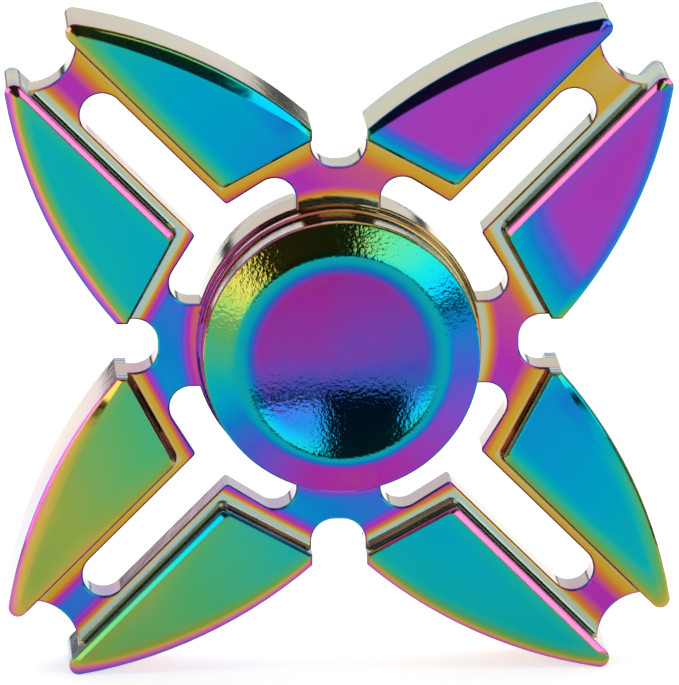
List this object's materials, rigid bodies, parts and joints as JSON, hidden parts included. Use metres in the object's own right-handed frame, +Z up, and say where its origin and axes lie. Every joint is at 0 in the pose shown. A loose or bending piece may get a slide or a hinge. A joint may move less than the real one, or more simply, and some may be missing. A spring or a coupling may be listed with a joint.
{
  "type": "fidget spinner",
  "caption": "Cross-shaped metal fidget spinner: paired claw blades with raised pads, and dished finger caps that it turns on through a shielded ball bearing.",
  "frame": {"origin": "centre of the bearing, on the spin axis, midway between the two faces", "axes": "+Y along the spin axis towards the rear finger cap, so the front faces -Y; +Z up, with the spinner standing on two claw tips; +X to the right"},
  "size_m": [0.062, 0.018, 0.062],
  "materials": {
    "plated_zinc": "polished, rainbow plated",
    "bearing_steel": "ground and polished",
    "sheet_steel": "pressed",
    "spring_steel": "drawn wire",
    "zinc_plated_screw": "satin"
  },
  "bodies": {
    "finger_grip": {"finger_cap_front": "plated_zinc", "finger_cap_rear": "plated_zinc", "cap_stud": "zinc_plated_screw", "bearing_inner_race": "bearing_steel"},
    "spinner": {"spinner_body": "plated_zinc", "bearing_outer_race": "bearing_steel", "shield_front": "sheet_steel", "shield_rear": "sheet_steel", "snap_ring_front": "spring_steel", "snap_ring_rear": "spring_steel"},
    "ball_cage": {"cage_front_half": "sheet_steel", "cage_rear_half": "sheet_steel", "cage_rivets": "sheet_steel"},
    "ball_1_body": {"ball_1": "bearing_steel"},
    "ball_2_body": {"ball_2": "bearing_steel"},
    "ball_3_body": {"ball_3": "bearing_steel"},
    "ball_4_body": {"ball_4": "bearing_steel"},
    "ball_5_body": {"ball_5": "bearing_steel"},
    "ball_6_body": {"ball_6": "bearing_steel"},
    "ball_7_body": {"ball_7": "bearing_steel"}
  },
  "joints": [
    {"name": "body_spin", "type": "hinge", "parent": "finger_grip", "child": "spinner", "pos_m": [0, 0, 0], "axis": [0, 1, 0], "continuous": true},
    {"name": "cage_orbit", "type": "hinge", "parent": "finger_grip", "child": "ball_cage", "pos_m": [0, 0, 0], "axis": [0, 1, 0], "continuous": true},
    {"name": "ball_1_roll", "type": "hinge", "parent": "ball_cage", "child": "ball_1_body", "pos_m": [0, 0, 0.0075], "axis": [0, 1, 0], "continuous": true},
    {"name": "ball_2_roll", "type": "hinge", "parent": "ball_cage", "child": "ball_2_body", "pos_m": [0.00586, 0, 0.00468], "axis": [0, 1, 0], "continuous": true},
    {"name": "ball_3_roll", "type": "hinge", "parent": "ball_cage", "child": "ball_3_body", "pos_m": [0.00731, 0, -0.00167], "axis": [0, 1, 0], "continuous": true},
    {"name": "ball_4_roll", "type": "hinge", "parent": "ball_cage", "child": "ball_4_body", "pos_m": [0.00325, 0, -0.00676], "axis": [0, 1, 0], "continuous": true},
    {"name": "ball_5_roll", "type": "hinge", "parent": "ball_cage", "child": "ball_5_body", "pos_m": [-0.00325, 0, -0.00676], "axis": [0, 1, 0], "continuous": true},
    {"name": "ball_6_roll", "type": "hinge", "parent": "ball_cage", "child": "ball_6_body", "pos_m": [-0.00731, 0, -0.00167], "axis": [0, 1, 0], "continuous": true},
    {"name": "ball_7_roll", "type": "hinge", "parent": "ball_cage", "child": "ball_7_body", "pos_m": [-0.00586, 0, 0.00468], "axis": [0, 1, 0], "continuous": true}
  ],
  "couplings": [
    {"joint": "cage_orbit", "follows": "body_spin", "ratio": 0.63227},
    {"joint": "ball_1_roll", "follows": "body_spin", "ratio": 1.7578},
    {"joint": "ball_2_roll", "follows": "body_spin", "ratio": 1.7578},
    {"joint": "ball_3_roll", "follows": "body_spin", "ratio": 1.7578},
    {"joint": "ball_4_roll", "follows": "body_spin", "ratio": 1.7578},
    {"joint": "ball_5_roll", "follows": "body_spin", "ratio": 1.7578},
    {"joint": "ball_6_roll", "follows": "body_spin", "ratio": 1.7578},
    {"joint": "ball_7_roll", "follows": "body_spin", "ratio": 1.7578}
  ]
}
